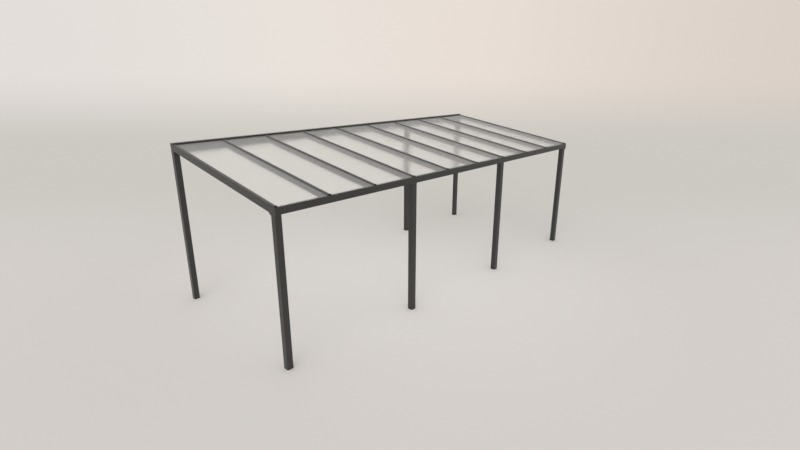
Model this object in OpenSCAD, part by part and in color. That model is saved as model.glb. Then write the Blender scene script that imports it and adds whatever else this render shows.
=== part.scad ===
// Free-standing patio cover: posts, gutter, glazing bars and a sloping glass roof.
// Sizes are in millimetres. +X runs along the front, +Y to the rear, +Z up.
// The origin lies on the floor below the middle of the cover.

/* [Overall] */

// width over the end plates of the gutter
roof_w = 8000; // [6400:50:9500]
// depth from the front of the gutter to the rear face of the rear beam
roof_d = 3360; // [2600:20:4000]
// clear height below the gutter
clear_h = 2380; // [2000:10:2800]
// slope of the roof in degrees
roof_pitch = 8.35; // [5:0.05:12]

/* [Posts] */

// side of the square posts
post_w = 100; // [80:1:120]
// wall of the posts
post_wall = 4; // [3:0.5:5]
// radius of the posts' long edges
post_r = 4; // [2:0.5:6]
// middle rear post, to the right of the middle of the cover
rear_mid_x = 1865; // [-2000:5:2200]
// thickness of the foot and head plates
foot_t = 8; // [5:1:12]
// height of a foot or head bracket
foot_h = 120; // [60:5:200]
// thickness of the bracket's lugs
lug_t = 5; // [3:0.5:8]
// width of the bracket's lugs
lug_w = 60; // [40:1:70]
// spacing of the four anchor holes
anchor_gap = 56; // [44:1:60]
// diameter of the anchor holes
anchor_d = 11; // [8:0.5:14]

/* [Gutter] */

// front to rear over the gutter
gutter_d = 165; // [140:1:200]
// height of the gutter
gutter_h = 110; // [95:1:150]
// wall of the gutter
gutter_wall = 3; // [2:0.5:4]
// distance by which the gutter stands ahead of the posts
gutter_lead = 20; // [5:1:40]
// depth of the lip at the top of the front wall
lip_d = 14; // [8:1:20]
// height of the lip's returned edge
lip_h = 9; // [6:1:14]
// radius of the gutter's lower front edge
gutter_r = 4; // [1:0.5:6]
// depth of the flange that carries the glazing bars
flange_d = 22; // [16:1:30]
// thickness of the end plates
end_plate_t = 3; // [2:0.5:6]
// distance by which the end plates hang below the gutter
end_plate_lap = 22; // [10:1:40]
// outside diameter of the outlets
outlet_d = 60; // [40:1:70]
// wall of the outlets
outlet_wall = 2.5; // [2:0.5:4]
// length of the outlets below the gutter
outlet_h = 60; // [30:1:90]
// width of the slots above the outlets
slot_w = 3.5; // [2:0.25:3.75]

/* [Glazing bars] */

// width of the rafters and side beams
bar_w = 60; // [50:1:80]
// depth of the rafters
rafter_h = 98; // [80:1:140]
// depth of the side beams
side_h = 100; // [80:1:150]
// wall of the bars
bar_wall = 3; // [2:0.5:4]
// radius of the bars' long edges
bar_r = 3; // [1:0.5:5]
// depth of the nose that rests on the gutter
nose_h = 45; // [30:1:50]
// width of the rafters' screw upstand
upstand_w = 10; // [9:0.5:14]
// width of the side beams' screw upstand
side_upstand_w = 16; // [12:0.5:20]
// width of the screw channel
channel_w = 4; // [3:0.25:5]
// depth of the screw channel
channel_d = 12; // [8:0.5:14]
// width of the seal grooves
groove_w = 5; // [4:0.5:6]
// depth of the seal grooves
groove_d = 4; // [3:0.5:5]
// seal groove, from the bar's edge
groove_in = 10; // [8:0.5:12]

/* [Glass and seals] */

// thickness of the glass
glass_t = 10; // [8:0.5:12]
// gap between the glass and an upstand
glass_gap = 5; // [3:0.5:8]
// thickness of the seals
seal_t = 2; // [1:0.25:3]
// width of the lower seals
seal_w = 9; // [8:0.5:12]
// width of the upper seals
top_seal_w = 7; // [5:0.5:8]

/* [Cover strips and stops] */

// width of the cover strips
strip_w = 50; // [44:1:58]
// thickness of the cover strips
strip_t = 6.5; // [5:0.5:14]
// bevel of the cover strips' long edges
strip_bevel = 2; // [1:0.5:4]
// width of a strip's legs
strip_leg = 9; // [8:0.5:12]
// width of a strip's middle rib
strip_rib = 16; // [14:0.5:20]
// thickness of the strips' top skin
strip_skin = 2.5; // [2:0.5:4]
// gap between the strips' rear ends and the rear beam
strip_stop = 24; // [20:1:60]
// thickness of the glass stops
stop_t = 5; // [3:0.5:8]
// height of the glass stops above the strips
stop_rise = 13; // [6:1:20]
// rear face of the glass stops, behind the front of the gutter
stop_back = 36; // [30:1:44]

/* [Rear beam] */

// depth of the rear beam, front to rear
beam_d = 100; // [80:1:120]
// height of the rear beam
beam_h = 200; // [150:5:260]
// wall of the rear beam
beam_wall = 5; // [3:0.5:8]
// radius of the rear beam's long edges
beam_r = 6; // [3:0.5:10]
// top of the rear beam above the top of the glass
beam_rise = 24; // [20:1:60]
// thickness of the rear beam's end caps
beam_cap_t = 3; // [2:0.5:6]
// thickness of the ledges that carry the rear edge of the glass
ledge_t = 3; // [2:0.5:5]
// depth of the ledges
ledge_d = 35; // [25:1:45]
// height of the ledges
ledge_h = 40; // [25:1:60]
// thickness of the rear flashing
flash_t = 2; // [1.5:0.25:3]

/* [Hidden] */

$fn = 32;

// counts that the named nodes depend on
bays = 9;
front_spans = 3;

// clearance of pieces that fit into or between others
slip = 0.3;
// bedding gap under pieces that lie on a sloping face
bed = 0.05;
// overrun of a cutter past the face it cuts
over = 1;
// reach of the cutters that trim the sloping bars
far = 500;

// outer plane of the posts, side beams and rear beam
edge_x = roof_w / 2 - end_plate_t;
// front and rear planes of the structure
gutter_y = -roof_d / 2;
front_y = gutter_y + gutter_lead;
gutter_rear_y = gutter_y + gutter_d;
rear_y = roof_d / 2;
beam_y = rear_y - beam_d;
// seat of the glass below the top of the gutter, at the posts' front faces
seat_drop = 17;
seat_z = clear_h + gutter_h - seat_drop;
// levels measured square to the roof, from the seat of the lower seals
glass_lo = seal_t;
glass_hi = seal_t + glass_t;
strip_lo = glass_hi + seal_t;
strip_hi = strip_lo + strip_t;
// spacing of the glazing bars
bar_pitch = (2 * edge_x - bar_w) / bays;

// height of a plane parallel to the roof, n above the seat, at a distance y
function slope_z(y, n) = seat_z + (y - front_y) * tan(roof_pitch) + n / cos(roof_pitch);
// distance up the slope of the point at y that lies n above the seat
function run_at(y, n) = (y - front_y + n * sin(roof_pitch)) / cos(roof_pitch);
// centre of a glazing bar; 0 and bays are the side beams
function bar_x(i) = bar_w / 2 - edge_x + i * bar_pitch;
// centre of a front post, counted from the left
function front_post_x(i) = post_w / 2 - edge_x + i * (2 * edge_x - post_w) / front_spans;

post_in = post_w - 2 * post_wall;
// collar of an outlet
collar_d = outlet_d + 10;
collar_t = 3;
front_post_y = front_y + post_w / 2;
rear_post_y = rear_y - beam_d / 2;
beam_top = round(slope_z(beam_y, glass_hi) + beam_rise);
beam_bot = beam_top - beam_h;
// along the slope: end of the noses, end of the strips, end of the glass
nose_run = run_at(gutter_y + stop_back, 0);
strip_end_run = run_at(beam_y - strip_stop, strip_lo);
glass_front_gap = 1;
glass_end_run = run_at(beam_y - glass_gap, glass_lo);
// thickness of the bars' top wall, which holds the seal grooves
bar_top_t = 2 * groove_d;
// centre of the lower seal on a bar, from the bar's centre
seal_x = bar_w / 2 - groove_in;
// gap between the strips' ends and the rear flashing
flash_gap = 2;
// bevel at the lower rear corner of the end plates
end_bevel_y = 44;
end_bevel_z = 32;
bevel_slope = end_bevel_z / end_bevel_y;
// cover of the end plates over the gutter's own bevel
bevel_lap = 2;
// ports for the end plates' screws: y, z and the way their slots face
port_in = gutter_wall + 4;
end_screws = [
    [gutter_y + port_in, clear_h + port_in, 45],
    [gutter_y + port_in, clear_h + gutter_h - 25, 0],
    [gutter_rear_y - port_in, clear_h + 25, 180]
];
// screws of the end plates: hole and countersink
screw_hole_d = 4.8;
screw_sink_d = 9;
// front fillers: place, depth and height in the roof's frame, and their wall
filler_run = nose_run + glass_front_gap + 3;
filler_d = 14;
filler_h = 24;
filler_wall = 2;

// ---------------------------------------------------------------- helpers

module rounded(w, h, r) {
    square([w - 2 * r, h], center = true);
    square([w, h - 2 * r], center = true);
    for (sx = [-1, 1])
        for (sy = [-1, 1])
            translate([sx * (w / 2 - r), sy * (h / 2 - r)])
                circle(r = r);
}

module along_y(y0, y1) {
    translate([0, y1, 0])
        rotate([90, 0, 0])
            linear_extrude(y1 - y0)
                children();
}

module along_x(x0, x1) {
    translate([x0, 0, 0])
        rotate([90, 0, 90])
            linear_extrude(x1 - x0)
                children();
}

// frame of the sloping roof: y runs up the slope, z is square to it
module on_slope() {
    translate([0, front_y, seat_z])
        rotate([roof_pitch, 0, 0])
            children();
}

// block in the roof's frame
module slope_block(x0, x1, y0, y1, z0, z1) {
    on_slope()
        translate([x0, y0, z0])
            cube([x1 - x0, y1 - y0, z1 - z0]);
}

// ---------------------------------------------------------------- posts

module post(x, y, h) {
    color([0.25, 0.25, 0.24])
        translate([x, y, 0])
            linear_extrude(h)
                difference() {
                    rounded(post_w, post_w, post_r);
                    rounded(post_in, post_in, post_r / 2);
                }
}

// plate with two upright lugs, sized to slide into a post
module bracket() {
    plate_w = post_in - 2 * slip;
    linear_extrude(foot_t)
        rounded(plate_w, plate_w, post_r / 2);
    for (s = [0, 1])
        mirror([s, 0, 0])
            translate([plate_w / 2 - lug_t, -lug_w / 2, 0])
                cube([lug_t, lug_w, foot_h]);
}

// foot with four anchor holes; the corner feet let the drain pipe through
module foot(x, y, drained) {
    pipe_hole_d = 44;
    color([0.6, 0.61, 0.62])
        translate([x, y, 0])
            difference() {
                bracket();
                if (drained)
                    translate([0, 0, -over])
                        cylinder(d = pipe_hole_d, h = foot_t + 2 * over);
                for (sx = [-1, 1])
                    for (sy = [-1, 1])
                        translate([sx * anchor_gap / 2, sy * anchor_gap / 2, -over])
                            cylinder(d = anchor_d, h = foot_t + 2 * over);
            }
}

// head on which a beam or the gutter rests; the corner heads hold the outlets
module head(x, y, top, bored) {
    color([0.6, 0.61, 0.62])
        translate([x, y, top])
            mirror([0, 0, 1])
                difference() {
                    bracket();
                    if (bored)
                        translate([0, 0, -over]) {
                            cylinder(d = outlet_d + 2 * slip, h = foot_t + 2 * over);
                            cylinder(d = collar_d + 2 * slip, h = collar_t + bed + over);
                        }
                }
}

module post_feet_front() {
    for (i = [0 : front_spans])
        foot(front_post_x(i), front_post_y, i == 0 || i == front_spans);
}

module post_feet_rear() {
    for (x = [post_w / 2 - edge_x, rear_mid_x, edge_x - post_w / 2])
        foot(x, rear_post_y, false);
}

module post_heads_front() {
    for (i = [0 : front_spans])
        head(front_post_x(i), front_post_y, clear_h, i == 0 || i == front_spans);
}

module post_heads_rear() {
    for (x = [post_w / 2 - edge_x, rear_mid_x, edge_x - post_w / 2])
        head(x, rear_post_y, beam_bot, false);
}

// ---------------------------------------------------------------- gutter

// square corner less its rounding, with the sharp corner at the origin
module corner_waste(r) {
    difference() {
        translate([-over, -over])
            square([r + over, r + over]);
        translate([r, r])
            circle(r = r);
    }
}

// open channel for a self-tapping screw, centred on the origin
module screw_port() {
    port_d = 9;
    bore_d = 4.2;
    slot = 2;
    difference() {
        circle(d = port_d);
        circle(d = bore_d);
        translate([0, -slot / 2])
            square([port_d, slot]);
    }
}

// outline of the gutter's trough, t inside its outer face, open to the top
module trough_outline(t) {
    bevel_t = t * sqrt(1 + pow(bevel_slope, 2));
    bevel_z = clear_h + end_bevel_z - end_plate_lap + bevel_lap + bevel_t;
    y1 = gutter_rear_y - t;
    polygon([
        [gutter_y + t, clear_h + t],
        [gutter_rear_y - (bevel_z - clear_h - t) / bevel_slope, clear_h + t],
        [y1, bevel_z - t * bevel_slope],
        [y1, clear_h + gutter_h + t],
        [gutter_y + t, clear_h + gutter_h + t]
    ]);
}

// section of the gutter, front to the left
module gutter_section() {
    rear_top = gutter_rear_y - gutter_wall;
    flange_n = -nose_h - bed;
    difference() {
        union() {
            difference() {
                trough_outline(0);
                trough_outline(gutter_wall);
            }
            // lip with its returned edge
            translate([gutter_y, clear_h + gutter_h - gutter_wall])
                square([lip_d, gutter_wall]);
            translate([gutter_y + lip_d - gutter_wall, clear_h + gutter_h - lip_h])
                square([gutter_wall, lip_h]);
            // ports for the end plates' screws
            for (port = end_screws)
                translate([port[0], port[1]])
                    rotate(port[2])
                        screw_port();
        }
        // the rear wall ends below the noses
        polygon([
            [rear_top - over, slope_z(rear_top - over, flange_n)],
            [gutter_rear_y + over, slope_z(gutter_rear_y + over, flange_n)],
            [gutter_rear_y + over, clear_h + gutter_h + over],
            [rear_top - over, clear_h + gutter_h + over]
        ]);
        translate([gutter_y, clear_h])
            corner_waste(gutter_r);
    }
    // flange under the noses
    polygon([
        [gutter_rear_y - flange_d, slope_z(gutter_rear_y - flange_d, flange_n)],
        [gutter_rear_y - flange_d, slope_z(gutter_rear_y - flange_d, flange_n - gutter_wall)],
        [gutter_rear_y, slope_z(gutter_rear_y, flange_n - gutter_wall)],
        [gutter_rear_y, slope_z(gutter_rear_y, flange_n)]
    ]);
}

// slots above an outlet that let the water down and hold leaves back
module drain_slots() {
    reach = outlet_d / 2 - outlet_wall - slot_w / 2;
    rows = 3;
    row_gap = reach / 3.5;
    bridge = 8;
    for (row = [-rows : rows])
        for (s = [0, 1])
            mirror([s, 0]) {
                end_x = sqrt(pow(reach, 2) - pow(row * row_gap, 2));
                translate([bridge / 2, row * row_gap - slot_w / 2])
                    square([end_x - bridge / 2, slot_w]);
                translate([end_x, row * row_gap])
                    circle(d = slot_w);
            }
}

module front_gutter() {
    color([0.25, 0.25, 0.24])
        difference() {
            along_x(-edge_x, edge_x)
                gutter_section();
            for (i = [0, front_spans])
                translate([front_post_x(i), front_post_y, clear_h - over])
                    linear_extrude(gutter_wall + 2 * over)
                        drain_slots();
        }
}

// plate over the gutter's end with its outer face at -x, lapping the post
module gutter_end_plate() {
    color([0.25, 0.25, 0.24])
        difference() {
            along_x(-roof_w / 2, -edge_x)
                polygon([
                    [gutter_y, clear_h - end_plate_lap],
                    [gutter_rear_y - end_bevel_y, clear_h - end_plate_lap],
                    [gutter_rear_y, clear_h - end_plate_lap + end_bevel_z],
                    [gutter_rear_y, clear_h + gutter_h],
                    [gutter_y, clear_h + gutter_h]
                ]);
            for (port = end_screws)
                translate([-roof_w / 2, port[0], port[1]])
                    rotate([0, 90, 0]) {
                        translate([0, 0, -over])
                            cylinder(d = screw_hole_d, h = end_plate_t + 2 * over);
                        translate([0, 0, -over])
                            cylinder(
                                d1 = screw_sink_d + 2 * over,
                                d2 = screw_hole_d,
                                h = (screw_sink_d - screw_hole_d) / 2 + over
                            );
                    }
        }
}

// spigot that leads the water into a corner post; its collar lies in the head
module gutter_outlet() {
    top = outlet_h - bed;
    difference() {
        union() {
            cylinder(d = outlet_d, h = top);
            translate([0, 0, top - collar_t])
                cylinder(d = collar_d, h = collar_t);
        }
        translate([0, 0, -over])
            cylinder(d = outlet_d - 2 * outlet_wall, h = outlet_h + 2 * over);
    }
}

module gutter_outlets() {
    color([0.2, 0.2, 0.2])
        for (i = [0, front_spans])
            translate([front_post_x(i), front_post_y, clear_h - outlet_h])
                gutter_outlet();
}

// ---------------------------------------------------------------- rear beam

module rear_beam() {
    color([0.25, 0.25, 0.24])
        translate([0, beam_y + beam_d / 2, beam_bot + beam_h / 2])
            along_x(beam_cap_t - edge_x, edge_x - beam_cap_t)
                difference() {
                    rounded(beam_d, beam_h, beam_r);
                    rounded(beam_d - 2 * beam_wall, beam_h - 2 * beam_wall, beam_r / 2);
                }
}

module rear_beam_end_caps() {
    color([0.25, 0.25, 0.24])
        for (x = [-edge_x, edge_x - beam_cap_t])
            translate([0, beam_y + beam_d / 2, beam_bot + beam_h / 2])
                along_x(x, x + beam_cap_t)
                    rounded(beam_d, beam_h, beam_r);
}

// angle on the face of the rear beam; its upper leg follows the slope
module rear_ledge(x0, x1) {
    foot_z = slope_z(beam_y, 0) - ledge_h;
    along_x(x0, x1)
        polygon([
            [beam_y, slope_z(beam_y, -bed)],
            [beam_y - ledge_d, slope_z(beam_y - ledge_d, -bed)],
            [beam_y - ledge_d, slope_z(beam_y - ledge_d, -bed - ledge_t)],
            [beam_y - ledge_t, slope_z(beam_y - ledge_t, -bed - ledge_t)],
            [beam_y - ledge_t, foot_z],
            [beam_y, foot_z]
        ]);
}

module rear_ledges() {
    color([0.25, 0.25, 0.24])
        for (i = [0 : bays - 1])
            rear_ledge(bar_x(i) + bar_w / 2 + slip, bar_x(i + 1) - bar_w / 2 - slip);
}

// folded strip that covers the joint of glass and rear beam
module rear_flashing() {
    leg_d = strip_stop - flash_gap;
    top_z = beam_top - beam_r;
    leg_lo = strip_lo + bed;
    leg_hi = leg_lo + flash_t;
    color([0.25, 0.25, 0.24])
        along_x(-edge_x, edge_x)
            polygon([
                [beam_y, slope_z(beam_y, leg_lo)],
                [beam_y - leg_d, slope_z(beam_y - leg_d, leg_lo)],
                [beam_y - leg_d, slope_z(beam_y - leg_d, leg_hi)],
                [beam_y - flash_t, slope_z(beam_y - flash_t, leg_hi)],
                [beam_y - flash_t, top_z],
                [beam_y, top_z]
            ]);
}

// ---------------------------------------------------------------- glazing bars

// hollow section with a web at the cope line, seal grooves and an open chamber pair
module bar_shell(h) {
    in_w = bar_w - 2 * bar_wall;
    low_h = h - nose_h - bar_wall;
    high_h = nose_h - bar_wall - bar_top_t;
    difference() {
        translate([0, -h / 2])
            rounded(bar_w, h, bar_r);
        translate([0, -nose_h - low_h / 2])
            rounded(in_w, low_h, bar_r / 2);
        for (s = [-1, 1])
            translate([s * (in_w + bar_wall) / 4, -bar_top_t - high_h / 2])
                square([(in_w - bar_wall) / 2, high_h], center = true);
    }
}

module seal_groove(x) {
    translate([x - groove_w / 2, -groove_d])
        square([groove_w, groove_d + over]);
}

module screw_channel(x) {
    translate([x - channel_w / 2, strip_lo - channel_d])
        square([channel_w, channel_d + over]);
}

// section of a rafter: seat at zero, upstand in the middle
module rafter_section() {
    difference() {
        union() {
            bar_shell(rafter_h);
            translate([-upstand_w / 2, -bar_top_t])
                square([upstand_w, bar_top_t + strip_lo]);
        }
        seal_groove(-seal_x);
        seal_groove(seal_x);
        screw_channel(0);
    }
}

// section of the left side beam: the upstand closes the outer edge of the glass
module side_section() {
    difference() {
        union() {
            bar_shell(side_h);
            translate([-bar_w / 2, -bar_top_t])
                square([side_upstand_w, bar_top_t + strip_lo]);
        }
        seal_groove(seal_x);
        screw_channel(side_upstand_w / 2 - bar_w / 2);
    }
}

// bar cut square at the nose, coped over the gutter and trimmed to the rear beam
module trimmed_bar(upstand_end) {
    half = bar_w;
    difference() {
        on_slope()
            along_y(nose_run, run_at(beam_y, 0) + far)
                children();
        // cope below the nose
        intersection() {
            translate([-half, gutter_y - far, 0])
                cube([2 * half, far + gutter_d, 2 * clear_h]);
            slope_block(-half, half, -far, far, -far, -nose_h);
        }
        // trim at the rear beam
        translate([-half, beam_y, 0])
            cube([2 * half, 2 * far, 2 * beam_top]);
        // end of the upstand
        slope_block(-half, half, upstand_end, upstand_end + 2 * far, 0, far);
    }
}

module rafter(i) {
    color([0.25, 0.25, 0.24])
        translate([bar_x(i), 0, 0])
            trimmed_bar(strip_end_run)
                rafter_section();
}

module side_beam() {
    color([0.25, 0.25, 0.24])
        translate([bar_x(0), 0, 0])
            trimmed_bar(run_at(beam_y, strip_lo))
                side_section();
}

// ---------------------------------------------------------------- glass

module glass(i) {
    inset = upstand_w / 2 + glass_gap;
    side_inset = side_upstand_w + glass_gap - bar_w / 2;
    x0 = bar_x(i - 1) + (i == 1 ? side_inset : inset);
    x1 = bar_x(i) - (i == bays ? side_inset : inset);
    color([0.86, 0.88, 0.88, 0.6])
        slope_block(x0, x1, nose_run + glass_front_gap, glass_end_run, glass_lo, glass_hi);
}

// ---------------------------------------------------------------- strips and stops

// section of a cover strip from x = -l to r, with its rib at the origin
module strip_section(l, r) {
    rib = strip_rib / 2;
    z1 = strip_hi - strip_skin;
    difference() {
        polygon([
            [-l, strip_lo],
            [r, strip_lo],
            [r, strip_hi - strip_bevel],
            [r - strip_bevel, strip_hi],
            [strip_bevel - l, strip_hi],
            [-l, strip_hi - strip_bevel]
        ]);
        if (l > rib + strip_leg)
            translate([strip_leg - l, strip_lo - over])
                square([l - rib - strip_leg, z1 - strip_lo + over]);
        translate([rib, strip_lo - over])
            square([r - rib - strip_leg, z1 - strip_lo + over]);
    }
}

module cover_strips() {
    color([0.25, 0.25, 0.24])
        for (i = [1 : bays - 1])
            translate([bar_x(i), 0, 0])
                on_slope()
                    along_y(nose_run, strip_end_run)
                        strip_section(strip_w / 2, strip_w / 2);
}

module cover_strips_side() {
    rib_x = side_upstand_w / 2;
    color([0.25, 0.25, 0.24])
        for (s = [0, 1])
            mirror([s, 0, 0])
                translate([rib_x - edge_x, 0, 0])
                    on_slope()
                        along_y(nose_run, strip_end_run)
                            strip_section(rib_x, strip_w - rib_x);
}

// plate on a bar's nose that holds the glass and closes the strip
module glass_stop(x) {
    stop_h = nose_h + strip_hi + stop_rise;
    stop_r = 4;
    translate([x, 0, 0])
        on_slope()
            along_y(nose_run - bed - stop_t, nose_run - bed)
                translate([0, stop_h / 2 - nose_h])
                    rounded(strip_w, stop_h, stop_r);
}

module glass_stops() {
    side_x = edge_x - strip_w / 2;
    color([0.25, 0.25, 0.24])
        for (i = [0 : bays])
            glass_stop(i == 0 ? -side_x : (i == bays ? side_x : bar_x(i)));
}

// channel between two noses that carries the front edge of the glass
module front_fillers() {
    hollow_d = filler_d - filler_wall + over;
    hollow_h = filler_h - 2 * filler_wall;
    color([0.25, 0.25, 0.24])
        for (i = [0 : bays - 1])
            on_slope()
                along_x(bar_x(i) + bar_w / 2 + slip, bar_x(i + 1) - bar_w / 2 - slip)
                    translate([filler_run, -filler_h])
                        difference() {
                            square([filler_d, filler_h]);
                            translate([filler_wall, filler_wall])
                                square([hollow_d, hollow_h]);
                        }
}

// ---------------------------------------------------------------- seals

// seal with a foot in the bar's groove
module lower_seal(x) {
    foot_w = groove_w - 2 * slip;
    foot_d = groove_d - slip;
    translate([x, 0, 0])
        on_slope()
            along_y(nose_run + glass_front_gap, glass_end_run) {
                translate([-seal_w / 2, 0])
                    square([seal_w, seal_t]);
                translate([-foot_w / 2, -foot_d])
                    square([foot_w, foot_d]);
            }
}

module glazing_seals_lower() {
    rear_run = run_at(beam_y - ledge_d, 0);
    color([0.08, 0.08, 0.08]) {
        for (i = [1 : bays])
            lower_seal(bar_x(i) - seal_x);
        for (i = [0 : bays - 1]) {
            lower_seal(bar_x(i) + seal_x);
            slope_block(
                bar_x(i) + bar_w / 2 + slip, bar_x(i + 1) - bar_w / 2 - slip,
                filler_run, filler_run + filler_d, 0, seal_t
            );
            slope_block(
                bar_x(i) + bar_w / 2 + slip, bar_x(i + 1) - bar_w / 2 - slip,
                rear_run, rear_run + seal_w, 0, seal_t
            );
        }
    }
}

module upper_seal(x) {
    slope_block(
        x - top_seal_w / 2, x + top_seal_w / 2,
        nose_run + glass_front_gap, strip_end_run, glass_hi, strip_lo
    );
}

module glazing_seals_upper() {
    in_leg = (strip_w - strip_leg) / 2;
    side_leg = edge_x - strip_w + strip_leg / 2;
    flash_run = run_at(beam_y - strip_stop + flash_gap, glass_hi) + flash_gap;
    color([0.08, 0.08, 0.08]) {
        for (i = [1 : bays - 1]) {
            upper_seal(bar_x(i) - in_leg);
            upper_seal(bar_x(i) + in_leg);
        }
        upper_seal(-side_leg);
        upper_seal(side_leg);
        slope_block(
            side_upstand_w + glass_gap - edge_x, edge_x - side_upstand_w - glass_gap,
            flash_run, flash_run + seal_w, glass_hi, strip_lo
        );
    }
}

// ---------------------------------------------------------------- nodes

post(front_post_x(0), front_post_y, clear_h);  // post_front_left
post(front_post_x(1), front_post_y, clear_h);  // post_front_mid_left
post(front_post_x(2), front_post_y, clear_h);  // post_front_mid_right
post(front_post_x(3), front_post_y, clear_h);  // post_front_right
post(post_w / 2 - edge_x, rear_post_y, beam_bot);  // post_rear_left
post(rear_mid_x, rear_post_y, beam_bot);  // post_rear_mid
post(edge_x - post_w / 2, rear_post_y, beam_bot);  // post_rear_right
post_feet_front();
post_feet_rear();
post_heads_front();
post_heads_rear();
front_gutter();
gutter_end_plate();  // gutter_end_plate_left
mirror([1, 0, 0]) gutter_end_plate();  // gutter_end_plate_right
gutter_outlets();
rear_beam();
rear_beam_end_caps();
rear_ledges();
rear_flashing();
side_beam();  // side_beam_left
mirror([1, 0, 0]) side_beam();  // side_beam_right
rafter(1);  // rafter_1
rafter(2);  // rafter_2
rafter(3);  // rafter_3
rafter(4);  // rafter_4
rafter(5);  // rafter_5
rafter(6);  // rafter_6
rafter(7);  // rafter_7
rafter(8);  // rafter_8
glass(1);  // glass_1
glass(2);  // glass_2
glass(3);  // glass_3
glass(4);  // glass_4
glass(5);  // glass_5
glass(6);  // glass_6
glass(7);  // glass_7
glass(8);  // glass_8
glass(9);  // glass_9
cover_strips_side();
cover_strips();
glass_stops();
front_fillers();
glazing_seals_lower();
glazing_seals_upper();
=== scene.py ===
"""Looks of a free-standing patio cover: finishes, fasteners, sealant and the stage it is shown on."""

import math

import bpy
from bpy.props import FloatProperty, FloatVectorProperty, IntProperty, PointerProperty
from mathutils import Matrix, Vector


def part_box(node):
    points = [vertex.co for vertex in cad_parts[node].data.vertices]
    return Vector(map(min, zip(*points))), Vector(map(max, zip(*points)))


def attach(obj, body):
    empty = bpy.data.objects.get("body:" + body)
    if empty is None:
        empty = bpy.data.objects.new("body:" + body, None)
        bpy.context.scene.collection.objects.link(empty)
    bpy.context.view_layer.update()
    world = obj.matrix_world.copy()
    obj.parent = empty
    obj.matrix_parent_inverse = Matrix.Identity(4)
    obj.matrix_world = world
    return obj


bl_info = {
    "name": "Patio cover",
    "version": (1, 0, 0),
    "blender": (4, 5, 0),
    "location": "3D View > Sidebar > Patio cover",
    "description": "Finishes, fasteners and stage of a glazed patio cover",
    "category": "Object",
}

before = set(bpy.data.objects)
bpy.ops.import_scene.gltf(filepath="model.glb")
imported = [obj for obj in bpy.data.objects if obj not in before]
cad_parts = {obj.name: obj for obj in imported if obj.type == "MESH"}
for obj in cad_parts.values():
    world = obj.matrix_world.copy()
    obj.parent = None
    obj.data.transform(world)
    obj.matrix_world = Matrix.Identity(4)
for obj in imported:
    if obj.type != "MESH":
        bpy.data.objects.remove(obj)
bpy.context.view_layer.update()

BODY = "root"
MM = 0.001


def nodes_named(*starts):
    """The CAD nodes whose names start so, in order."""
    return sorted(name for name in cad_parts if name.startswith(starts))


BRACKETS = nodes_named("post_feet", "post_heads")
POSTS = [name for name in nodes_named("post_") if name not in BRACKETS]
RAFTERS = nodes_named("rafter_")
PANES = [name for name in nodes_named("glass_") if name != "glass_stops"]
SEALS = nodes_named("glazing_seals")
OUTLETS = nodes_named("gutter_outlets")
PAINTED = sorted(set(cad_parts) - {*PANES, *SEALS, *BRACKETS, *OUTLETS})


# ------------------------------------------------------------------ colours and nodes


def linear(hex_code):
    """The linear RGB of an sRGB hex colour."""
    channels = [int(hex_code[k : k + 2], 16) / 255 for k in (1, 3, 5)]
    return tuple(c / 12.92 if c <= 0.04045 else ((c + 0.055) / 1.055) ** 2.4 for c in channels)


def scaled(colour, factor):
    """A colour made darker or lighter."""
    return tuple(channel * factor for channel in colour)


def add(tree, kind, inputs=None, stops=(), **settings):
    """Adds a node. Inputs that are sockets, or lists of them, are linked; stops are a colour ramp's."""
    node = tree.nodes.new(kind)
    for number, (at, colour) in enumerate(stops):
        ramp = node.color_ramp.elements
        stop = ramp[number] if number < 2 else ramp.new(at)
        stop.position = at
        stop.color = (*colour, 1.0)
    for name, value in settings.items():
        setattr(node, name, value)
    for key, value in (inputs or {}).items():
        socket = node.inputs[key]
        if isinstance(value, list):
            for source in value:
                tree.links.new(source, socket)
        elif isinstance(value, bpy.types.NodeSocket):
            tree.links.new(value, socket)
        elif socket.type == "RGBA" and len(value) == 3:
            socket.default_value = (*value, 1.0)
        else:
            socket.default_value = value
    return node


def new_material(name):
    """An empty node material: its tree and the output's surface socket."""
    material = bpy.data.materials.new(name)
    material.use_nodes = True
    material.node_tree.nodes.clear()
    output = add(material.node_tree, "ShaderNodeOutputMaterial")
    return material, material.node_tree, output.inputs["Surface"]


def finish_nodes(names, material):
    """Gives CAD nodes a material through their objects' slots."""
    for name in names:
        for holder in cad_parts[name].material_slots:
            holder.material = material


# ------------------------------------------------------------------ materials


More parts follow.
